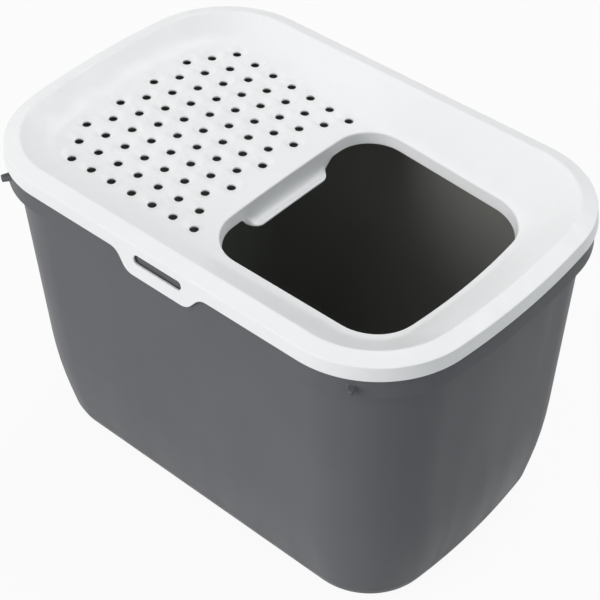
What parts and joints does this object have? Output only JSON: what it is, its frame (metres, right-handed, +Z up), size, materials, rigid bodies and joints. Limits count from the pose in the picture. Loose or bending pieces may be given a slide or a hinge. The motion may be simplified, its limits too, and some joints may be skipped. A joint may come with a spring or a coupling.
{
  "type": "top entry litter box",
  "caption": "Cat litter box with a deep tapered bin and a lift-off lid that has a dished, perforated deck to step on and an opening in the top to enter by.",
  "frame": {"origin": "on the floor under the middle of the bin", "axes": "+Z up, +X along the long side towards the end with the entry opening, +Y across"},
  "size_m": [0.5892, 0.3984, 0.3951],
  "materials": {
    "bin_plastic": "satin moulded, fine grain",
    "lid_plastic": "satin moulded, fine grain"
  },
  "bodies": {
    "bin": {"bin": "bin_plastic"},
    "lid": {"lid": "lid_plastic"}
  },
  "joints": [
    {"name": "lid_lift", "type": "slide", "parent": "bin", "child": "lid", "axis": [0, 0, 1], "range_m": [0, 0.08]}
  ]
}
